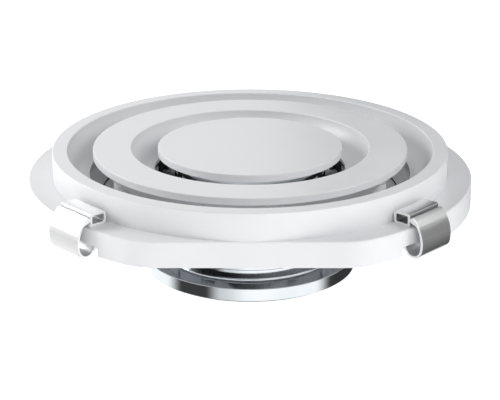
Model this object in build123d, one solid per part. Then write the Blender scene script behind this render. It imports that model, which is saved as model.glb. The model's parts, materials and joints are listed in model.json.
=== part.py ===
from build123d import *
from math import cos, radians, sin
import os

# Round plaster-in ceiling air diffuser on a steel duct spigot. All sizes in millimetres.
# Frame: origin at the centre of the spigot rim's lower edge, +Z towards the room-side face,
# X across the two wings of the mounting flange, Y across its two flats.

# --- levels ---
FACE_Z = 58.5                       # room-side face of the ring, the middle ring and the disc
FACE_EDGE = 0.45                    # rounding of every edge on that face
BOARD = 12.5                        # plasterboard thickness that the ring passes through
FLANGE_THICK = 12.0
FLANGE_TOP = FACE_Z - BOARD
FLANGE_BOTTOM = FLANGE_TOP - FLANGE_THICK
RIM_TOP = 6.2
OVERCUT = 1.0                       # how far a cutting tool runs past the surface it cuts

# --- plaster body ---
RING_R = 92.0
MOUTH_R = 85.0                      # inner edge of the ring at the face
LIP_R = 75.0                        # narrowest point of the outer slot's flare
LIP_Z = FACE_Z - 12.0
LIP_THICK = 1.4
LIP_BEVEL = 0.5
FLANGE_R = 103.4
FLAT_Y = 92.3                       # the two flats let the flange tilt through a round cut-out
FLAT_CORNER_R = 25.0
CHAMBER_R = 80.0                    # air chamber behind the slots, just under the lip
CHAMBER_FOOT_R = 70.0               # its wall slopes in to this radius at the back plate
PLATE_RECESS_R = 89.0
SOFT_EDGE = 0.8

# --- middle ring ---
MIDDLE_R = 73.2
MIDDLE_MOUTH_R = 55.4
MIDDLE_LIP_R = 44.6
MIDDLE_LIP_Z = FACE_Z - 10.5
MIDDLE_EDGE = 3.3
CONE_TOP_R = 71.6
CONE_TAPER = 0.75                   # radius lost for each millimetre down the cone
KEEL_Z = 41.5                       # lowest level of the ring
KEEL_FLAT = 2.8
UNDER_LIP_Z = 46.4
BOSS_R = 5.2

# --- centre disc ---
DISC_R = 43.0
DISC_EDGE = 3.4
DISC_CORE_Z = 52.0
SKIRT_R = 35.5
SKIRT_WALL = 0.8
SKIRT_BOTTOM = 42.6
SKIRT_CURL = 1.6

# --- back plate, spigot and throat ---
PLATE = 1.5
GASKET = 1.0
PLATE_R = 88.8
NECK_R = 40.0
NECK_WALL = 0.8
NECK_FLANGE_R = 49.0
NECK_BOTTOM = 1.0
NECK_BEAD_Z = 11.5                  # small rolled groove round the neck
NECK_BEAD_DEPTH = 0.3
RIM_R = 49.6                        # slides inside a DN100 duct
RIM_WALL = 1.2
RIM_PLATE = 1.0
RIM_STEP = 1.3
RIM_FOOT_BEVEL = 0.4
SEAL_BOTTOM = 0.8
COLLAR_R = 46.5
COLLAR_FOOT_R = 41.5
COLLAR_WALL = 1.2
COLLAR_TOP = 44.5
COLLAR_WINDOWS = 12
WINDOW_WIDE = 13.0
WINDOW_TALL = 3.4
WINDOW_Z = 41.2
GASKET_TOP = FLANGE_BOTTOM + PLATE + GASKET
COLLAR_FOOT_TOP = GASKET_TOP + COLLAR_WALL

# --- spider, hub and spindle ---
SPIDER = 1.5
SPIDER_TOP = COLLAR_FOOT_TOP + SPIDER
SPIDER_ARM = 9.0
SPIDER_HUB_R = 11.0
SPIDER_R = COLLAR_R - 0.4
ARM_ANGLES = (30, 150, 270)
PLAIN_RIVET_ANGLES = (90, 210, 330)
RIVET_CIRCLE_R = 43.3
RIVET_R = 1.6
RIVET_HEAD_R = 2.8
RIVET_HEAD = 1.0
RIVET_TAIL = 0.9
HUB_R = 6.0
HUB_FLANGE_R = 8.5
HUB_FLANGE = 1.5
HUB_BOTTOM = 30.0
SPINDLE_R = 4.0
SPINDLE_BOTTOM = 14.0
SPINDLE_THREAD_TOP = 51.0
SPINDLE_TOP = 55.4
THREAD_PITCH = 1.25
THREAD_DEPTH = 0.4
THREAD_RISE = 0.35                  # share of the pitch where a ridge starts, and before its end
RUNNING_GAP = 0.05
WASHER_R = 8.0
WASHER = (48.1, 48.9)               # low and high level
JAM_NUT_BOTTOM = 49.0
JAM_NUT = 2.0
STOP_NUT = 3.0
NUT_FLATS = 13.0
NUT_CROWN = 0.4
DISC_INSERT_R = 7.0
DISC_INSERT_FLANGE_R = 9.5
DISC_INSERT_TOP = 56.0
DISC_INSERT_BORE_TOP = 55.5

# --- posts and fasteners ---
POST_ANGLES = (90, 210, 330)
POST_CIRCLE_R = 65.0
POST_R = 4.0
STUD_R = 2.0
RING_INSERT_R = 3.2
RING_INSERT_TALL = 5.5
STUD_TALL = 4.5
POST_SCREW_R = 1.3
POST_SCREW_TALL = 4.0
POST_SCREW_HEAD = (3.2, 1.6)        # radius and height
PLATE_INSERT_R = 2.6
PLATE_INSERT_TOP = 43.0
SCREW_CIRCLE_R = 84.5
SCREW_COUNT = 6
SCREW_R = 1.9
SCREW_TALL = 8.0
SCREW_HEAD = (3.8, 2.0)             # radius and height
SCREW_PLAY = 0.1

# --- spring clips, drawn in a plane of distance from the axis and height ---
CLIP_ANGLES = (42, 138, 222, 318)
CLIP_WIDTH = 20.5
CLIP_WALL = 1.2
CLIP_BOX_IN = 93.0
CLIP_BOX_OUT = 101.6
CLIP_BOX_TALL = 5.9
CLIP_BOX_ROUND = 1.5
CLIP_SPLIT = 0.1                    # hairline between the box and its arm
GROOVE_Z = 50.0                     # bottom of the fold line along the arm's root
CROTCH_Z = 48.4
BULGE_CENTRE = (93.3, 39.0)
BULGE_R = 15.5
BULGE_START = 49.5                  # degrees above level where the outer curve starts
BULGE_INNER_START = 34.0
HOOK_R = 5.0
HOOK_START = -10.0                  # degrees from level where the bulge turns into the hook
POCKET_IN = 96.4
POCKET_TOP = 38.6
POCKET_HALF = 15.5
POCKET_ROUND = 3.0
POCKET_ROOF_ROUND = 1.5


def turned(*edges):
    """Solid of revolution about Z from a closed outline of (radius, height) edges."""
    return revolve(Plane.XZ * make_face(Curve() + list(edges)), Axis.Z)


def turned_outline(*points):
    return revolve(Plane.XZ * make_face(Polyline(*points, close=True)), Axis.Z)


def tube(outer, inner, low, high):
    return turned_outline((inner, low), (outer, low), (outer, high), (inner, high))


def rod(radius, low, high):
    return Pos(0, 0, low) * extrude(Circle(radius), high - low)


def spread(shape, radius, angles):
    """Copies of a shape drawn on the Z axis, moved out to a circle."""
    return [Rot(Z=angle) * Pos(radius, 0, 0) * shape for angle in angles]


def save(shape, node):
    export_step(shape, f"parts/{node}.step")


def save_group(shapes, node):
    save(Compound(children=list(shapes)), node)


# ---------------------------------------------------------------- plaster body

def flange_outline():
    strip = Rectangle(2.2 * FLANGE_R, 2 * FLAT_Y)
    outline = Circle(FLANGE_R) & strip
    return fillet(outline.vertices(), FLAT_CORNER_R)


def clip_pocket(angle):
    """Space under the flange edge for a clip's hook, with rounded inner corners."""
    depth = FLANGE_R + OVERCUT - POCKET_IN
    tall = POCKET_TOP - FLANGE_BOTTOM + OVERCUT
    block = Box(depth, 2 * POCKET_HALF, tall, align=(Align.MIN, Align.CENTER, Align.MAX))
    inner_edges = block.edges().filter_by(Axis.Z).group_by(Axis.X)[0]
    block = fillet(inner_edges, POCKET_ROUND)
    roof_edge = block.edges().filter_by(Axis.Y).group_by(Axis.Z)[-1].group_by(Axis.X)[0]
    block = fillet(roof_edge, POCKET_ROOF_ROUND)
    return Rot(Z=angle) * Pos(POCKET_IN, 0, POCKET_TOP) * block


def body_core():
    """The ring with its flared mouth and lip, and the chamber wall below them."""
    under_lip = LIP_Z - LIP_THICK
    edge_z = FACE_Z - FACE_EDGE
    outline = [
        EllipticalCenterArc((LIP_R, edge_z), MOUTH_R - LIP_R, edge_z - LIP_Z, 270, arc_size=90),
        CenterArc((MOUTH_R + FACE_EDGE, edge_z), FACE_EDGE, 90, 90),
        Line((MOUTH_R + FACE_EDGE, FACE_Z), (RING_R - FACE_EDGE, FACE_Z)),
        CenterArc((RING_R - FACE_EDGE, edge_z), FACE_EDGE, 0, 90),
        Polyline(
            (RING_R, edge_z),
            (RING_R, FLANGE_BOTTOM),
            (PLATE_RECESS_R, FLANGE_BOTTOM),
            (PLATE_RECESS_R, GASKET_TOP),
            (CHAMBER_FOOT_R, GASKET_TOP),
            (CHAMBER_R, under_lip - LIP_THICK),
            (LIP_R + LIP_THICK, under_lip),
            (LIP_R, under_lip + LIP_BEVEL),
            (LIP_R, LIP_Z),
        ),
    ]
    return turned(*outline)


def plaster_body():
    flange = Pos(0, 0, FLANGE_BOTTOM) * extrude(flange_outline(), FLANGE_THICK)
    flange = fillet(flange.edges().group_by(Axis.Z)[-1], SOFT_EDGE)
    flange -= rod(RING_R - OVERCUT, FLANGE_BOTTOM - OVERCUT, FLANGE_TOP + OVERCUT)
    body = flange + body_core()
    for angle in CLIP_ANGLES:
        body -= clip_pocket(angle)
    for hole in spread(rod(PLATE_INSERT_R, GASKET_TOP, PLATE_INSERT_TOP), SCREW_CIRCLE_R, screw_angles()):
        body -= hole
    return body


# ---------------------------------------------------------------- middle ring and posts

def middle_ring():
    """Flared mouth inside, steep cone outside, meeting in a narrow keel."""
    edge_z = FACE_Z - FACE_EDGE
    cone_top = FACE_Z - MIDDLE_EDGE
    keel_r = CONE_TOP_R - CONE_TAPER * (cone_top - KEEL_Z)
    inside_rise = UNDER_LIP_Z - KEEL_Z
    outline = [
        EllipticalCenterArc(
            (MIDDLE_LIP_R, edge_z), MIDDLE_MOUTH_R - MIDDLE_LIP_R, edge_z - MIDDLE_LIP_Z, 270, arc_size=90
        ),
        CenterArc((MIDDLE_MOUTH_R + FACE_EDGE, edge_z), FACE_EDGE, 90, 90),
        Line((MIDDLE_MOUTH_R + FACE_EDGE, FACE_Z), (MIDDLE_R - FACE_EDGE, FACE_Z)),
        CenterArc((MIDDLE_R - FACE_EDGE, edge_z), FACE_EDGE, 0, 90),
        Polyline(
            (MIDDLE_R, edge_z),
            (MIDDLE_R, cone_top),
            (CONE_TOP_R, cone_top),
            (keel_r, KEEL_Z),
            (keel_r - KEEL_FLAT, KEEL_Z),
            (keel_r - KEEL_FLAT - inside_rise, UNDER_LIP_Z),
            (MIDDLE_LIP_R, UNDER_LIP_Z),
            (MIDDLE_LIP_R, MIDDLE_LIP_Z),
        ),
    ]
    ring = turned(*outline)
    for boss in spread(rod(BOSS_R, KEEL_Z, UNDER_LIP_Z + BOSS_R), POST_CIRCLE_R, POST_ANGLES):
        ring += boss
    hole = rod(RING_INSERT_R, KEEL_Z - OVERCUT, KEEL_Z + RING_INSERT_TALL)
    for cut in spread(hole, POST_CIRCLE_R, POST_ANGLES):
        ring -= cut
    return ring


def ring_insert():
    insert = rod(RING_INSERT_R, KEEL_Z, KEEL_Z + RING_INSERT_TALL)
    return insert - rod(STUD_R, KEEL_Z - OVERCUT, KEEL_Z + STUD_TALL)


def ring_post():
    """Turned standoff on the back plate, with a stud up into the ring's insert."""
    foot = FLANGE_BOTTOM + PLATE
    post = rod(POST_R, foot, KEEL_Z) + rod(STUD_R, KEEL_Z, KEEL_Z + STUD_TALL)
    return post - rod(POST_SCREW_R, foot - OVERCUT, foot + POST_SCREW_TALL)


def cross_screw(radius, tall, head):
    """Screw pointing up through the back plate, with a cross drive in its rounded head."""
    head_r, head_tall = head
    low = FLANGE_BOTTOM - head_tall
    dome = fillet(rod(head_r, low, FLANGE_BOTTOM).edges().group_by(Axis.Z)[0], 0.45 * head_tall)
    drive = Pos(0, 0, low) * Box(0.25 * head_r, 1.2 * head_r, head_tall)
    return dome + rod(radius, FLANGE_BOTTOM, FLANGE_BOTTOM + tall) - drive - Rot(Z=90) * drive


# ---------------------------------------------------------------- back plate and spigot

def screw_angles():
    return [60 * index for index in range(SCREW_COUNT)]


def through(radius):
    """A cutter long enough to pass through every sheet stacked at the back plate."""
    return rod(radius, FLANGE_BOTTOM - OVERCUT, SPIDER_TOP + OVERCUT)


def screw_holes():
    return spread(through(SCREW_R + SCREW_PLAY), SCREW_CIRCLE_R, screw_angles())


def rivet_holes():
    return spread(through(RIVET_R), RIVET_CIRCLE_R, ARM_ANGLES + PLAIN_RIVET_ANGLES)


def back_plate():
    plate = tube(PLATE_R, NECK_R + RUNNING_GAP, FLANGE_BOTTOM, FLANGE_BOTTOM + PLATE)
    post_holes = spread(through(POST_SCREW_R + SCREW_PLAY), POST_CIRCLE_R, POST_ANGLES)
    for hole in screw_holes() + rivet_holes() + post_holes:
        plate -= hole
    return plate


def plate_gasket():
    gasket = tube(PLATE_R, CHAMBER_FOOT_R, FLANGE_BOTTOM + PLATE, GASKET_TOP)
    for hole in screw_holes():
        gasket -= hole
    return gasket


def plate_insert():
    insert = rod(PLATE_INSERT_R, GASKET_TOP, PLATE_INSERT_TOP)
    return insert - rod(SCREW_R, GASKET_TOP - OVERCUT, FLANGE_BOTTOM + SCREW_TALL)


def spigot_neck():
    """Tube with a flange on top that is riveted to the back plate."""
    neck = tube(NECK_R, NECK_R - NECK_WALL, NECK_BOTTOM, GASKET_TOP)
    neck += tube(NECK_FLANGE_R, NECK_R - NECK_WALL, FLANGE_BOTTOM + PLATE, GASKET_TOP)
    outside = NECK_R + OVERCUT
    neck -= turned_outline(
        (outside, NECK_BEAD_Z + 0.4), (NECK_R - NECK_BEAD_DEPTH, NECK_BEAD_Z), (outside, NECK_BEAD_Z - 0.4)
    )
    for hole in rivet_holes():
        neck -= hole
    return neck


def spigot_rim():
    """Pressed cap ring: flat shoulder, straight skirt for the duct, and a small rolled foot."""
    inner = NECK_R + RUNNING_GAP
    foot_inner = RIM_R - RIM_WALL
    bevel = 0.25
    outline = [
        Line((inner, RIM_TOP - RIM_PLATE), (inner, RIM_TOP + RIM_STEP)),
        CenterArc((inner + RIM_STEP, RIM_TOP + RIM_STEP), RIM_STEP, 180, 90),
        Polyline(
            (inner + RIM_STEP, RIM_TOP),
            (RIM_R - bevel, RIM_TOP),
            (RIM_R, RIM_TOP - bevel),
            (RIM_R, RIM_FOOT_BEVEL),
            (RIM_R - RIM_FOOT_BEVEL, 0),
            (foot_inner, 0),
            (foot_inner, RIM_TOP - RIM_PLATE),
            (inner, RIM_TOP - RIM_PLATE),
        ),
    ]
    return turned(*outline)


def duct_seal():
    seal = tube(RIM_R - RIM_WALL - 0.1, NECK_R + 0.2, SEAL_BOTTOM, RIM_TOP - RIM_PLATE)
    return fillet(seal.edges().filter_by(GeomType.CIRCLE).group_by(Axis.Z)[0], SOFT_EDGE)


def throat_collar():
    """Ring around the throat, with windows that let air out to the outer slot."""
    collar = tube(COLLAR_R + COLLAR_WALL, COLLAR_R, GASKET_TOP, COLLAR_TOP)
    collar += tube(COLLAR_R + COLLAR_WALL, COLLAR_FOOT_R, GASKET_TOP, COLLAR_FOOT_TOP)
    window = Pos(COLLAR_R, 0, WINDOW_Z) * Box(6 * COLLAR_WALL, WINDOW_WIDE, WINDOW_TALL)
    for index in range(COLLAR_WINDOWS):
        collar -= Rot(Z=(index + 0.5) * 360 / COLLAR_WINDOWS) * window
    for hole in rivet_holes():
        collar -= hole
    return collar


def rivet(top):
    """Pop rivet from under the back plate up to a head on the given level."""
    head = rod(RIVET_HEAD_R, top, top + RIVET_HEAD)
    head = fillet(head.edges().group_by(Axis.Z)[-1], 0.7 * RIVET_HEAD)
    tail = rod(RIVET_HEAD_R, FLANGE_BOTTOM - RIVET_TAIL, FLANGE_BOTTOM)
    tail = fillet(tail.edges().group_by(Axis.Z)[0], 0.7 * RIVET_TAIL)
    return head + tail + rod(RIVET_R, FLANGE_BOTTOM, top)


# ---------------------------------------------------------------- spider and lift screw

def spider():
    plate = Circle(SPIDER_HUB_R)
    for angle in ARM_ANGLES:
        plate += Rot(Z=angle) * Pos(SPIDER_R / 2, 0) * Rectangle(SPIDER_R, SPIDER_ARM)
    plate &= Circle(SPIDER_R)
    solid = Pos(0, 0, COLLAR_FOOT_TOP) * extrude(plate, SPIDER)
    solid -= through(HUB_R + RUNNING_GAP)
    for hole in rivet_holes():
        solid -= hole
    return solid


def hub_nut():
    """Flanged bush pressed into the spider, bored for the spindle."""
    top = SPIDER_TOP + HUB_FLANGE
    hub = rod(HUB_R, HUB_BOTTOM, SPIDER_TOP) + rod(HUB_FLANGE_R, SPIDER_TOP, top)
    hub = chamfer(hub.edges().group_by(Axis.Z)[0], 0.5)
    return hub - rod(SPINDLE_R + RUNNING_GAP, HUB_BOTTOM - OVERCUT, top + OVERCUT)


def spindle():
    """Threaded rod drawn with ring grooves at the thread's pitch."""
    root = SPINDLE_R - THREAD_DEPTH
    points = [(0, SPINDLE_BOTTOM), (root, SPINDLE_BOTTOM)]
    for index in range(int((SPINDLE_THREAD_TOP - SPINDLE_BOTTOM) / THREAD_PITCH)):
        start = SPINDLE_BOTTOM + index * THREAD_PITCH
        points += [
            (SPINDLE_R, start + THREAD_RISE * THREAD_PITCH),
            (SPINDLE_R, start + (1 - THREAD_RISE) * THREAD_PITCH),
            (root, start + THREAD_PITCH),
        ]
    points += [(root, SPINDLE_TOP), (0, SPINDLE_TOP)]
    return turned_outline(*points)


def hex_nut(low, tall):
    high = low + tall
    corner_r = NUT_FLATS / 2 / cos(radians(30))
    nut = Pos(0, 0, low) * extrude(RegularPolygon(corner_r, 6), tall)
    crown = chamfer(rod(NUT_FLATS / 2 + NUT_CROWN, low, high).edges(), NUT_CROWN)
    return (nut & crown) - rod(SPINDLE_R, low - OVERCUT, high + OVERCUT)


def thrust_washer():
    return tube(WASHER_R, SPINDLE_R + RUNNING_GAP, *WASHER)


def disc_insert():
    insert = rod(DISC_INSERT_R, DISC_CORE_Z, DISC_INSERT_TOP)
    insert += rod(DISC_INSERT_FLANGE_R, JAM_NUT_BOTTOM + JAM_NUT, DISC_CORE_Z)
    return insert - rod(SPINDLE_R, JAM_NUT_BOTTOM, DISC_INSERT_BORE_TOP)


def centre_disc():
    """Disc with a thicker core that the skirt is pressed over."""
    under_edge = FACE_Z - DISC_EDGE
    core_r = SKIRT_R - SKIRT_WALL
    disc = turned(
        Line((0, FACE_Z), (DISC_R - FACE_EDGE, FACE_Z)),
        CenterArc((DISC_R - FACE_EDGE, FACE_Z - FACE_EDGE), FACE_EDGE, 0, 90),
        Polyline(
            (DISC_R, FACE_Z - FACE_EDGE),
            (DISC_R, under_edge),
            (core_r, under_edge),
            (core_r, DISC_CORE_Z),
            (0, DISC_CORE_Z),
            (0, FACE_Z),
        ),
    )
    return disc - rod(DISC_INSERT_R, DISC_CORE_Z - OVERCUT, DISC_INSERT_TOP)


def disc_skirt():
    """Spun metal sleeve that guides the air round the disc, with its lower edge curled in."""
    inner = SKIRT_R - SKIRT_WALL
    skirt = tube(SKIRT_R, inner, SKIRT_BOTTOM, FACE_Z - DISC_EDGE)
    skirt += tube(SKIRT_R, SKIRT_R - SKIRT_CURL, SKIRT_BOTTOM, SKIRT_BOTTOM + SKIRT_WALL)
    lower_edge = skirt.edges().filter_by(GeomType.CIRCLE).group_by(Axis.Z)[0].sort_by(SortBy.RADIUS)[-1]
    return fillet(lower_edge, 0.6 * SKIRT_WALL)


# ---------------------------------------------------------------- spring clips

def clip_solid(face):
    """Extrude an outline of (distance from axis, height) across the clip's width."""
    return extrude(Plane.XZ * face, CLIP_WIDTH / 2, both=True)


def clip_box():
    wide = CLIP_BOX_OUT - CLIP_BOX_IN
    centre = Pos((CLIP_BOX_IN + CLIP_BOX_OUT) / 2, FLANGE_TOP + CLIP_BOX_TALL / 2)
    outer = Rectangle(wide, CLIP_BOX_TALL)
    inner = Rectangle(wide - 2 * CLIP_WALL, CLIP_BOX_TALL - 2 * CLIP_WALL)
    outer = fillet(outer.vertices().group_by(Axis.X)[0], CLIP_BOX_ROUND)
    outer = fillet(outer.vertices().group_by(Axis.Y)[-1].sort_by(Axis.X)[-1], CLIP_WALL / 2)
    inner = fillet(inner.vertices(), CLIP_WALL / 2)
    return clip_solid(centre * (outer - inner))


def on_bulge(radius, angle):
    return (BULGE_CENTRE[0] + radius * cos(radians(angle)), BULGE_CENTRE[1] + radius * sin(radians(angle)))


def clip_arm():
    """Springy leg: grooved root, outward bulge, and a J hook that tucks under the flange."""
    groove = (CLIP_BOX_OUT + CLIP_SPLIT, GROOVE_Z)
    crotch = (CLIP_BOX_OUT + CLIP_SPLIT, CROTCH_Z)
    inner_r = BULGE_R - CLIP_WALL
    hook = on_bulge(BULGE_R - HOOK_R, HOOK_START)
    sweep = 180 + HOOK_START
    tip_out = (hook[0] - HOOK_R, hook[1])
    tip_in = (hook[0] - HOOK_R + CLIP_WALL, hook[1])
    outline = [
        Line(groove, on_bulge(BULGE_R, BULGE_START)),
        CenterArc(BULGE_CENTRE, BULGE_R, HOOK_START, BULGE_START - HOOK_START),
        CenterArc(hook, HOOK_R, 180, sweep),
        Line(tip_out, tip_in),
        CenterArc(hook, HOOK_R - CLIP_WALL, 180, sweep),
        CenterArc(BULGE_CENTRE, inner_r, HOOK_START, BULGE_INNER_START - HOOK_START),
        Line(on_bulge(inner_r, BULGE_INNER_START), crotch),
        Line(crotch, groove),
    ]
    return clip_solid(make_face(Curve() + outline))


# ---------------------------------------------------------------- write every node

os.makedirs("parts", exist_ok=True)

save(plaster_body(), "plaster_body")
save(middle_ring(), "middle_ring")
save(back_plate(), "back_plate")
save(plate_gasket(), "plate_gasket")
save(spigot_neck(), "spigot_neck")
save(spigot_rim(), "spigot_rim")
save(duct_seal(), "duct_seal")
save(throat_collar(), "throat_collar")
save(spider(), "spider")
save(hub_nut(), "hub_nut")
save(thrust_washer(), "thrust_washer")
save(spindle(), "spindle")
save(hex_nut(SPINDLE_BOTTOM, STOP_NUT), "stop_nut")
save(hex_nut(JAM_NUT_BOTTOM, JAM_NUT), "jam_nut")
save(disc_insert(), "disc_insert")
save(centre_disc(), "centre_disc")
save(disc_skirt(), "disc_skirt")

save_group(spread(plate_insert(), SCREW_CIRCLE_R, screw_angles()), "plate_inserts")
plate_screw = cross_screw(SCREW_R, SCREW_TALL, SCREW_HEAD)
save_group(spread(plate_screw, SCREW_CIRCLE_R, screw_angles()), "plate_screws")
save_group(spread(ring_insert(), POST_CIRCLE_R, POST_ANGLES), "ring_inserts")
post_screw = cross_screw(POST_SCREW_R, PLATE + POST_SCREW_TALL, POST_SCREW_HEAD)
save_group(spread(post_screw, POST_CIRCLE_R, POST_ANGLES), "post_screws")
save_group(spread(rivet(SPIDER_TOP), RIVET_CIRCLE_R, ARM_ANGLES), "spider_rivets")
save_group(spread(rivet(COLLAR_FOOT_TOP), RIVET_CIRCLE_R, PLAIN_RIVET_ANGLES), "neck_rivets")

for number, angle in enumerate(POST_ANGLES, start=1):
    save(spread(ring_post(), POST_CIRCLE_R, [angle])[0], f"ring_post_{number}")

for number, angle in enumerate(CLIP_ANGLES, start=1):
    save(Rot(Z=angle) * clip_box(), f"clip_box_{number}")
    save(Rot(Z=angle) * clip_arm(), f"clip_arm_{number}")
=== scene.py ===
import bpy
import bmesh
import json
from math import cos, hypot, pi, radians, sin
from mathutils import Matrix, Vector
from mathutils.geometry import tessellate_polygon


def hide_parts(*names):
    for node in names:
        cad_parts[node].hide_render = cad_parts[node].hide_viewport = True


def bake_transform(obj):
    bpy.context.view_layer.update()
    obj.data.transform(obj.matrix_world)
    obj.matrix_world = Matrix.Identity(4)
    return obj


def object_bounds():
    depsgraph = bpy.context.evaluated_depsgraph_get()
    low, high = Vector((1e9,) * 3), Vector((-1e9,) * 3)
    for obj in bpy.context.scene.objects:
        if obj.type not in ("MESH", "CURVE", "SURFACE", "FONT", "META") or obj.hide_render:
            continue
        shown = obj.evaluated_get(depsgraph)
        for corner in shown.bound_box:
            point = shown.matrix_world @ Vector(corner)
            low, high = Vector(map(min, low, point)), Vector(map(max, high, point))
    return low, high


# Looks of a round plaster-in ceiling air diffuser. Metres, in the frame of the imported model.
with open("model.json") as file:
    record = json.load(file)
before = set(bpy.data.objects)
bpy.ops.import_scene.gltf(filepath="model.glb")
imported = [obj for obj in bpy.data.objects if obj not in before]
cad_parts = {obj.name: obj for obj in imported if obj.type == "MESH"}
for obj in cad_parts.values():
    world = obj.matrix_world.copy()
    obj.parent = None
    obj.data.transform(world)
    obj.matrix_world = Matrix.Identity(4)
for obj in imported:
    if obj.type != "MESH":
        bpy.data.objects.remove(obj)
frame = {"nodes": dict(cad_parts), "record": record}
cad_low, cad_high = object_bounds()
FACE_Z = cad_high.z

# --- camera: a long lens, level with the object's middle and looking down on its face ---
CAMERA_LENS = 129.65
CAMERA_ELEVATION = 20.0
CAMERA_DISTANCE = 0.8505
TARGET_BELOW_FACE = 0.0274


# ---------------------------------------------------------------- node helpers

def new_material(name):
    material = bpy.data.materials.new(name)
    material.use_nodes = True
    return material, material.node_tree


def add(tree, kind, values=None, **settings):
    node = tree.nodes.new(kind)
    for key, value in settings.items():
        setattr(node, key, value)
    for key, value in (values or {}).items():
        node.inputs[key].default_value = value
    return node


def shader_of(tree):
    return tree.nodes["Principled BSDF"]


def place(tree, stretch, source="Object"):
    """Object or UV coordinates, stretched."""
    coordinates = add(tree, "ShaderNodeTexCoord")
    mapping = add(tree, "ShaderNodeMapping", {"Scale": stretch})
    tree.links.new(coordinates.outputs[source], mapping.inputs["Vector"])
    return mapping.outputs["Vector"]


def noise(tree, vector, scale, detail=4.0, rough=0.5):
    node = add(tree, "ShaderNodeTexNoise", {"Scale": scale, "Detail": detail, "Roughness": rough})
    tree.links.new(vector, node.inputs["Vector"])
    return node.outputs["Fac"]


def span(tree, value, low, high, start=0.0, end=1.0):
    """Maps a value from start..end to low..high."""
    limits = {"From Min": start, "From Max": end, "To Min": low, "To Max": high}
    node = add(tree, "ShaderNodeMapRange", limits)
    tree.links.new(value, node.inputs["Value"])
    return node.outputs["Result"]


def blend_colours(tree, value, first, second):
    """Mixes two fixed colours."""
    node = add(tree, "ShaderNodeMix", data_type="RGBA")
    node.inputs["A"].default_value = (*first, 1.0)
    node.inputs["B"].default_value = (*second, 1.0)
    tree.links.new(value, node.inputs["Factor"])
    return node.outputs["Result"]


def mix_colours(tree, factor, first, second):
    """Mixes the outputs of two other nodes."""
    node = add(tree, "ShaderNodeMix", data_type="RGBA")
    tree.links.new(factor, node.inputs["Factor"])
    tree.links.new(first, node.inputs["A"])
    tree.links.new(second, node.inputs["B"])
    return node.outputs["Result"]


def bump(tree, height, depth, strength=1.0, under=None):
    node = add(tree, "ShaderNodeBump", {"Strength": strength, "Distance": depth})
    tree.links.new(height, node.inputs["Height"])
    if under is not None:
        tree.links.new(under, node.inputs["Normal"])
    return node.outputs["Normal"]


# ---------------------------------------------------------------- materials

FOLD_SHADE_FADE = (0.0002, 0.0018)       # metres from the fold, from painted shade to none


def plaster():
    """Matt white sealed plaster: faint cloudy tone, orange peel and fine sanding grain."""
    material, tree = new_material("plaster_paint")
    shader = shader_of(tree)
    here = place(tree, (1, 1, 1))
    cloud = noise(tree, here, 28.0, 3.0)
    clouded = span(tree, cloud, 0, 1, 0.3, 0.7)
    tone = blend_colours(tree, clouded, (0.76, 0.765, 0.785), (0.79, 0.795, 0.81))
    tree.links.new(tone, shader.inputs["Base Color"])
    grain = noise(tree, here, 1600.0, 2.0, 0.6)
    orange_peel = noise(tree, here, 260.0, 3.0, 0.5)
    peeled = bump(tree, orange_peel, 0.00012, 0.35)
    tree.links.new(bump(tree, grain, 0.00004, 0.4, peeled), shader.inputs["Normal"])
    tree.links.new(span(tree, cloud, 0.33, 0.40, 0.3, 0.7), shader.inputs["Roughness"])
    shader.inputs["Specular IOR Level"].default_value = 0.5
    return material


def polished_steel():
    """Bright plated steel with fine turning lines round the axis; its upward-facing shoulder gets a
    near-black base colour, a painted dark reflection.
    """
    material, tree = new_material("polished_steel")
    shader = shader_of(tree)
    shader.inputs["Metallic"].default_value = 1.0
    lines = noise(tree, place(tree, (0.02, 0.02, 1)), 9000.0, 2.0)
    haze = noise(tree, place(tree, (1, 1, 1)), 40.0, 4.0)
    hazy = span(tree, haze, 0, 1, 0.35, 0.65)
    bright = blend_colours(tree, hazy, (0.78, 0.83, 0.86), (0.86, 0.89, 0.91))
    # Painted dark reflection: faces whose normal points up get a near-black base colour in place of the
    # bright metal.
    painted_dark_reflection = blend_colours(tree, haze, (0.075, 0.082, 0.09), (0.13, 0.14, 0.15))
    facing = add(tree, "ShaderNodeSeparateXYZ")
    tree.links.new(add(tree, "ShaderNodeTexCoord").outputs["Normal"], facing.inputs["Vector"])
    painted_reflection_mask = span(tree, facing.outputs["Z"], 0, 1, 0.45, 0.85)
    tree.links.new(mix_colours(tree, painted_reflection_mask, bright, painted_dark_reflection), shader.inputs["Base Color"])
    tree.links.new(span(tree, haze, 0.05, 0.11, 0.3, 0.7), shader.inputs["Roughness"])
    tree.links.new(bump(tree, lines, 0.000004, 0.2), shader.inputs["Normal"])
    return material


def galvanised():
    """Zinc-coated sheet with its crystal spangle."""
    material, tree = new_material("galvanised_sheet")
    shader = shader_of(tree)
    shader.inputs["Metallic"].default_value = 0.55
    here = place(tree, (1, 1, 1))
    cells = add(tree, "ShaderNodeTexVoronoi", {"Scale": 190.0})
    tree.links.new(here, cells.inputs["Vector"])
    grey = add(tree, "ShaderNodeSeparateColor")
    tree.links.new(cells.outputs["Color"], grey.inputs["Color"])
    tone = blend_colours(tree, grey.outputs["Red"], (0.62, 0.64, 0.66), (0.76, 0.77, 0.78))
    tree.links.new(tone, shader.inputs["Base Color"])
    tree.links.new(span(tree, grey.outputs["Green"], 0.50, 0.66), shader.inputs["Roughness"])
    tree.links.new(bump(tree, noise(tree, here, 500.0), 0.00005, 0.3), shader.inputs["Normal"])
    return material


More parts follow.
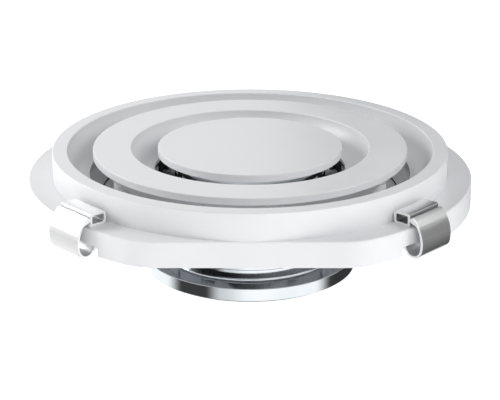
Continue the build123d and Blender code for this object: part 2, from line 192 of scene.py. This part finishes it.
def coated_sheet():
    """White powder coat on sheet steel, with its fine orange peel."""
    material, tree = new_material("white_coated_sheet")
    shader = shader_of(tree)
    here = place(tree, (1, 1, 1))
    peel = noise(tree, here, 900.0, 3.0, 0.55)
    mottled = span(tree, peel, 0, 1, 0.35, 0.65)
    tone = blend_colours(tree, mottled, (0.78, 0.785, 0.80), (0.86, 0.865, 0.875))
    tree.links.new(tone, shader.inputs["Base Color"])
    tree.links.new(span(tree, peel, 0.36, 0.48, 0.3, 0.7), shader.inputs["Roughness"])
    tree.links.new(bump(tree, peel, 0.00006, 0.4), shader.inputs["Normal"])
    return material


def extruded_aluminium():
    """Mill-finish extrusion: drawn lines along v in the UV map, and painted shade in the fold at u = 0."""
    material, tree = new_material("extruded_aluminium")
    shader = shader_of(tree)
    shader.inputs["Metallic"].default_value = 1.0
    fine = noise(tree, place(tree, (1, 0.004, 1), "UV"), 5200.0, 3.0, 0.6)
    broad = noise(tree, place(tree, (1, 0.01, 1), "UV"), 900.0, 3.0)
    banded = span(tree, broad, 0, 1, 0.3, 0.7)
    tone = blend_colours(tree, banded, (0.84, 0.845, 0.85), (0.93, 0.93, 0.935))
    # Painted shade: a dark colour in the fold between box and arm, fading out over the first millimetres of
    # u.
    painted_fold_shade = blend_colours(tree, broad, (0.16, 0.16, 0.165), (0.22, 0.22, 0.225))
    section = add(tree, "ShaderNodeSeparateXYZ")
    tree.links.new(add(tree, "ShaderNodeTexCoord").outputs["UV"], section.inputs["Vector"])
    out_of_painted_shade = span(tree, section.outputs["X"], 0, 1, *FOLD_SHADE_FADE)
    tree.links.new(mix_colours(tree, out_of_painted_shade, painted_fold_shade, tone), shader.inputs["Base Color"])
    tree.links.new(span(tree, fine, 0.27, 0.38, 0.3, 0.7), shader.inputs["Roughness"])
    tree.links.new(bump(tree, fine, 0.00002, 0.35), shader.inputs["Normal"])
    return material


def worn_metal(name, dark, bright, rough):
    """Small turned or stamped metal parts."""
    material, tree = new_material(name)
    shader = shader_of(tree)
    shader.inputs["Metallic"].default_value = 1.0
    here = place(tree, (1, 1, 1))
    patches = noise(tree, here, 320.0, 5.0)
    tone = blend_colours(tree, span(tree, patches, 0, 1, 0.3, 0.7), dark, bright)
    tree.links.new(tone, shader.inputs["Base Color"])
    tree.links.new(span(tree, patches, rough - 0.06, rough + 0.08, 0.3, 0.7), shader.inputs["Roughness"])
    tree.links.new(bump(tree, noise(tree, here, 1400.0), 0.00003, 0.3), shader.inputs["Normal"])
    return material


def moulded(name, dark, bright, rough, grain):
    """Rubber, foam, nylon and the black moulding; grain is the scale of its surface texture."""
    material, tree = new_material(name)
    shader = shader_of(tree)
    here = place(tree, (1, 1, 1))
    patches = noise(tree, here, 150.0, 4.0)
    tree.links.new(blend_colours(tree, patches, dark, bright), shader.inputs["Base Color"])
    tree.links.new(span(tree, patches, rough - 0.08, rough + 0.08), shader.inputs["Roughness"])
    tree.links.new(bump(tree, noise(tree, here, grain), 0.00006, 0.4), shader.inputs["Normal"])
    return material


def studio_floor():
    """Near-white floor that glows a little, so that it stays clean white under the object."""
    material, tree = new_material("studio_floor")
    shader = shader_of(tree)
    mottle = noise(tree, place(tree, (1, 1, 1)), 3.0)
    tone = blend_colours(tree, mottle, (0.93, 0.93, 0.93), (0.95, 0.95, 0.95))
    tree.links.new(tone, shader.inputs["Base Color"])
    tree.links.new(tone, shader.inputs["Emission Color"])
    shader.inputs["Emission Strength"].default_value = 0.62
    shader.inputs["Roughness"].default_value = 0.9
    shader.inputs["Specular IOR Level"].default_value = 0.1
    return material


def sawn_aluminium():
    """Cut ends of the extrusion: satin, with fine saw lines across the section."""
    material, tree = new_material("sawn_aluminium")
    shader = shader_of(tree)
    shader.inputs["Metallic"].default_value = 0.3
    cut = noise(tree, place(tree, (1, 0.05, 1), "UV"), 7000.0, 3.0)
    scored = span(tree, cut, 0, 1, 0.3, 0.7)
    tone = blend_colours(tree, scored, (0.90, 0.90, 0.905), (0.95, 0.95, 0.95))
    tree.links.new(tone, shader.inputs["Base Color"])
    tree.links.new(span(tree, cut, 0.48, 0.62, 0.3, 0.7), shader.inputs["Roughness"])
    tree.links.new(bump(tree, cut, 0.00003, 0.5), shader.inputs["Normal"])
    return material


SAWN_ALUMINIUM = sawn_aluminium()
SLOT_MATERIALS = {
    "plaster": plaster(),
    "polished_steel": polished_steel(),
    "galvanised": galvanised(),
    "coated_sheet": coated_sheet(),
    "extruded_aluminium": extruded_aluminium(),
    "zinc_fastener": worn_metal("zinc_fastener", (0.55, 0.57, 0.58), (0.76, 0.77, 0.76), 0.30),
    "brass_insert": worn_metal("brass_insert", (0.62, 0.46, 0.20), (0.80, 0.63, 0.32), 0.28),
    "black_moulding": moulded("black_moulding", (0.010, 0.010, 0.011), (0.020, 0.020, 0.022), 0.55, 1500.0),
    "seal_rubber": moulded("seal_rubber", (0.015, 0.015, 0.016), (0.035, 0.035, 0.037), 0.62, 900.0),
    "foam": moulded("closed_cell_foam", (0.04, 0.04, 0.042), (0.09, 0.09, 0.095), 0.85, 2200.0),
    "white_nylon": moulded("white_nylon", (0.70, 0.70, 0.66), (0.80, 0.80, 0.76), 0.42, 700.0),
}


def dress_cad_nodes():
    for part in frame["record"]["subparts"]:
        node = frame["nodes"][part["node"]]
        node.data.materials.clear()
        node.data.materials.append(SLOT_MATERIALS[part["material_slot"]])


dress_cad_nodes()


# ---------------------------------------------------------------- spring clips

# The section lies in a plane of distance from the object's axis and height.
CLIP_ANGLES = (42, 138, 222, 318)
CLIP_HALF = 0.01025                 # half the width
CLIP_WALL = 0.0012
BOX_IN, BOX_OUT, BOX_LOW, BOX_HIGH = 0.0930, 0.1016, 0.0460, 0.0519
GROOVE_Z, CROTCH_Z = 0.0500, 0.0484
BULGE_CENTRE, BULGE_R = (0.0933, 0.0390), 0.0155
BULGE_START, BULGE_INNER_START = 49.5, 34.0
HOOK_R, HOOK_START = 0.0050, -10.0
BOX_ROUND, EDGE_ROUND = 0.0015, 0.0006
END_BEVEL = 0.00012
CREASE_ANGLE = 28


def arc(centre, radius, start, end, step=2.0):
    """Points on an arc, both ends included, angles in degrees."""
    count = max(2, round(abs(end - start) / step))
    turn = [radians(start + (end - start) * index / count) for index in range(count + 1)]
    return [(centre[0] + radius * cos(a), centre[1] + radius * sin(a)) for a in turn]


def clip_outline():
    """Outer boundary of the extrusion, from the groove round the arm and hook and back round the box."""
    inner_r = BULGE_R - CLIP_WALL
    lift = radians(HOOK_START)
    reach = BULGE_R - HOOK_R
    hook = (BULGE_CENTRE[0] + reach * cos(lift), BULGE_CENTRE[1] + reach * sin(lift))
    low, high, inside, outside = BOX_LOW, BOX_HIGH, BOX_IN, BOX_OUT
    points = [(outside, GROOVE_Z)]
    points += arc(BULGE_CENTRE, BULGE_R, BULGE_START, HOOK_START)
    points += arc(hook, HOOK_R, HOOK_START, -180, 4.0)[1:]
    points += arc(hook, HOOK_R - CLIP_WALL, -180, HOOK_START, 4.0)
    points += arc(BULGE_CENTRE, inner_r, HOOK_START, BULGE_INNER_START)[1:]
    points += [(outside, CROTCH_Z), (outside, low)]
    points += arc((inside + BOX_ROUND, low + BOX_ROUND), BOX_ROUND, 270, 180, 10.0)
    points += arc((inside + BOX_ROUND, high - BOX_ROUND), BOX_ROUND, 180, 90, 10.0)
    points += arc((outside - EDGE_ROUND, high - EDGE_ROUND), EDGE_ROUND, 90, 0, 15.0)
    return points


def clip_hollow():
    """The box's square hollow with small rounded corners."""
    left, right = BOX_IN + CLIP_WALL, BOX_OUT - CLIP_WALL
    low, high = BOX_LOW + CLIP_WALL, BOX_HIGH - CLIP_WALL
    points = []
    for x, z, start in ((right, high, 0), (left, high, 90), (left, low, 180), (right, low, 270)):
        inward_x = -EDGE_ROUND if x == right else EDGE_ROUND
        inward_z = -EDGE_ROUND if z == high else EDGE_ROUND
        points += arc((x + inward_x, z + inward_z), EDGE_ROUND, start, start + 90, 15.0)
    return points


def inset(points, depth, solid_inside):
    """Loop moved into the metal by depth; solid_inside says on which side of the loop the metal is."""
    area = sum(a[0] * b[1] - b[0] * a[1] for a, b in zip(points, points[1:] + points[:1]))
    side = depth if (area > 0) == solid_inside else -depth
    moved = []
    for before, here, after in zip(points[-1:] + points[:-1], points, points[1:] + points[:1]):
        along = Vector((after[0] - before[0], after[1] - before[1])).normalized()
        moved.append((here[0] - along.y * side, here[1] + along.x * side))
    return moved


def clip_mesh(name, angle):
    """One clip: its section swept across the width, with a broken edge and sawn end faces."""
    loops = [(clip_outline(), True), (clip_hollow(), False)]
    across = (-CLIP_HALF, -CLIP_HALF + END_BEVEL, 0.0, CLIP_HALF - END_BEVEL, CLIP_HALF)
    depths = (END_BEVEL, 0.0, 0.0, 0.0, END_BEVEL)
    turn = radians(angle)
    mesh = bmesh.new()
    layer = mesh.loops.layers.uv.new("UVMap")

    def vertex(point, y):
        out, up = point
        return mesh.verts.new((out * cos(turn) - y * sin(turn), out * sin(turn) + y * cos(turn), up))

    ends = [[], []]
    for points, solid_inside in loops:
        steps = [hypot(b[0] - a[0], b[1] - a[1]) for a, b in zip(points, points[1:] + points[:1])]
        length = [sum(steps[:index]) for index in range(len(steps) + 1)]
        rows = [[vertex(p, y) for p in inset(points, d, solid_inside)] for y, d in zip(across, depths)]
        for row in range(len(across) - 1):
            for here in range(len(points)):
                there = (here + 1) % len(points)
                corners = (rows[row][here], rows[row][there], rows[row + 1][there], rows[row + 1][here])
                face = mesh.faces.new(corners)
                where = ((here, row), (here + 1, row), (here + 1, row + 1), (here, row + 1))
                for loop, (u, v) in zip(face.loops, where):
                    loop[layer].uv = (length[u], across[v])
        ends[0].append((inset(points, END_BEVEL, solid_inside), rows[0]))
        ends[1].append((inset(points, END_BEVEL, solid_inside), rows[-1]))
    for end in ends:
        flat = [[Vector((x, z, 0)) for x, z in points] for points, row in end]
        row = [v for points, vertices in end for v in vertices]
        place_of = [p for points, vertices in end for p in points]
        for triangle in tessellate_polygon(flat):
            face = mesh.faces.new([row[index] for index in triangle])
            face.material_index = 1
            for loop, index in zip(face.loops, triangle):
                loop[layer].uv = place_of[index]
    bmesh.ops.recalc_face_normals(mesh, faces=mesh.faces)
    data = bpy.data.meshes.new(name)
    mesh.to_mesh(data)
    mesh.free()
    data.shade_smooth()
    data.set_sharp_from_angle(angle=radians(CREASE_ANGLE))
    piece = bpy.data.objects.new(name, data)
    bpy.context.scene.collection.objects.link(piece)
    return piece


def make_clips():
    """Each clip replaces its box and arm with one swept piece."""
    for number, angle in enumerate(CLIP_ANGLES, start=1):
        piece = clip_mesh(f"clip_{number}", angle)
        piece.data.materials.append(SLOT_MATERIALS["extruded_aluminium"])
        piece.data.materials.append(SAWN_ALUMINIUM)
        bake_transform(piece)
        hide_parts(f"clip_box_{number}", f"clip_arm_{number}")


make_clips()


# ---------------------------------------------------------------- camera and studio

FLOOR_GAP = 0.0002                  # the floor lies this far under the object
LIGHT_TARGET = (0, 0, 0.04)


def make_camera():
    data = bpy.data.cameras.new("camera")
    data.lens = CAMERA_LENS
    data.sensor_width = 36.0
    data.clip_start, data.clip_end = 0.01, 20.0
    camera = bpy.data.objects.new("camera", data)
    bpy.context.scene.collection.objects.link(camera)
    lift = radians(CAMERA_ELEVATION)
    back = Vector((0, -cos(lift), sin(lift)))
    camera.location = Vector((0, 0, FACE_Z - TARGET_BELOW_FACE)) + back * CAMERA_DISTANCE
    camera.rotation_euler = (radians(90) - lift, 0, 0)
    bpy.context.scene.camera = camera


def area_light(name, at, size, power):
    """Soft box that points at the middle of the object."""
    data = bpy.data.lights.new(name, "AREA")
    data.shape = "RECTANGLE"
    data.size, data.size_y = size
    data.energy = power
    light = bpy.data.objects.new(name, data)
    bpy.context.scene.collection.objects.link(light)
    light.location = at
    light.rotation_euler = (Vector(LIGHT_TARGET) - Vector(at)).to_track_quat("-Z", "Y").to_euler()


def make_floor():
    """Pale floor; polished metal mirrors the studio instead of it."""
    half = 4.0
    corners = [(-half, -half, 0), (half, -half, 0), (half, half, 0), (-half, half, 0)]
    mesh = bpy.data.meshes.new("floor")
    mesh.from_pydata(corners, [], [(0, 1, 2, 3)])
    floor = bpy.data.objects.new("floor", mesh)
    floor.location.z = cad_low.z - FLOOR_GAP
    floor.data.materials.append(studio_floor())
    floor.visible_glossy = False
    bpy.context.scene.collection.objects.link(floor)


# Two white sheets and two dark gaps stand round the object. Each pair is a direction, in degrees to the
# right of the front, and the brightness there.
SHEET, GAP = 1.1, 0.05
LOW_STUDIO = (
    (-180, SHEET), (-105, SHEET), (-80, GAP), (-50, GAP), (-30, 0.75), (0, SHEET), (75, SHEET), (100, GAP),
    (140, GAP), (150, SHEET), (180, SHEET),
)
SIDE_STUDIO = (
    (-180, SHEET), (-100, SHEET), (-70, GAP), (-30, GAP), (0, 0.25), (30, 0.6), (70, 0.75), (100, GAP),
    (140, GAP), (150, SHEET), (180, SHEET),
)
OVERHEAD = 0.36
NADIR = 0.08                        # straight down


def ramp(tree, value, stops):
    """Smooth brightness ramp round the full circle; the node takes at most 32 stops."""
    node = add(tree, "ShaderNodeValToRGB")
    node.color_ramp.interpolation = "EASE"
    elements = node.color_ramp.elements
    while len(elements) < len(stops):
        elements.new(0.5)
    for element, (turn, level) in zip(elements, stops):
        element.position = (turn + 180) / 360
        element.color = (level, level, level, 1.0)
    tree.links.new(value, node.inputs["Fac"])
    return node.outputs["Color"]


def make_world():
    """Bright sheets with dark gaps round the sides, even light from overhead, dark straight down."""
    world = bpy.data.worlds.new("studio")
    bpy.context.scene.world = world
    world.use_nodes = True
    tree = world.node_tree
    split = add(tree, "ShaderNodeSeparateXYZ")
    tree.links.new(add(tree, "ShaderNodeTexCoord").outputs["Generated"], split.inputs["Vector"])
    away = add(tree, "ShaderNodeMath", operation="MULTIPLY")
    away.inputs[1].default_value = -1.0
    tree.links.new(split.outputs["Y"], away.inputs[0])
    turn = add(tree, "ShaderNodeMath", operation="ARCTAN2")
    tree.links.new(split.outputs["X"], turn.inputs[0])
    tree.links.new(away.outputs[0], turn.inputs[1])
    around = span(tree, turn.outputs[0], 0.0, 1.0, -pi, pi)
    low = ramp(tree, around, LOW_STUDIO)
    side = ramp(tree, around, SIDE_STUDIO)
    overhead = add(tree, "ShaderNodeRGB")
    overhead.outputs[0].default_value = (OVERHEAD, OVERHEAD, OVERHEAD, 1.0)
    lower = mix_colours(tree, span(tree, split.outputs["Z"], 0, 1, -0.1, 0.1), low, side)
    whole = mix_colours(tree, span(tree, split.outputs["Z"], 0, 1, 0.45, 0.7), lower, overhead.outputs[0])
    nadir = add(tree, "ShaderNodeRGB")
    nadir.outputs[0].default_value = (NADIR, NADIR, NADIR, 1.0)
    whole = mix_colours(tree, span(tree, split.outputs["Z"], 1, 0, -0.88, -0.72), whole, nadir.outputs[0])
    tree.links.new(whole, tree.nodes["Background"].inputs["Color"])
    tree.nodes["Background"].inputs["Strength"].default_value = 1.0


def back_flag():
    """Dark card behind the object on its right that only polished metal mirrors."""
    material, tree = new_material("flag_felt")
    shader = shader_of(tree)
    weave = noise(tree, place(tree, (1, 1, 1)), 60.0)
    tone = blend_colours(tree, weave, (0.02, 0.021, 0.023), (0.05, 0.051, 0.053))
    tree.links.new(tone, shader.inputs["Base Color"])
    shader.inputs["Roughness"].default_value = 0.95
    mesh = bpy.data.meshes.new("back_flag")
    near, far, low, high = (0.23, 0.0), (0.03, 0.38), -0.1, 0.36
    mesh.from_pydata([(*near, low), (*far, low), (*far, high), (*near, high)], [], [(0, 1, 2, 3)])
    piece = bpy.data.objects.new("back_flag", mesh)
    piece.data.materials.append(material)
    piece.visible_camera = piece.visible_diffuse = piece.visible_shadow = False
    bpy.context.scene.collection.objects.link(piece)


make_camera()
make_floor()
make_world()
back_flag()
area_light("left_box", at=(-0.62, 0.12, 0.30), size=(0.35, 0.35), power=2.7)
area_light("front_box", at=(0.30, -1.18, 0.95), size=(0.9, 0.5), power=5.8)
area_light("right_box", at=(0.58, -0.15, 0.46), size=(0.35, 0.35), power=1.35)
bpy.context.scene.view_settings.view_transform = "Standard"
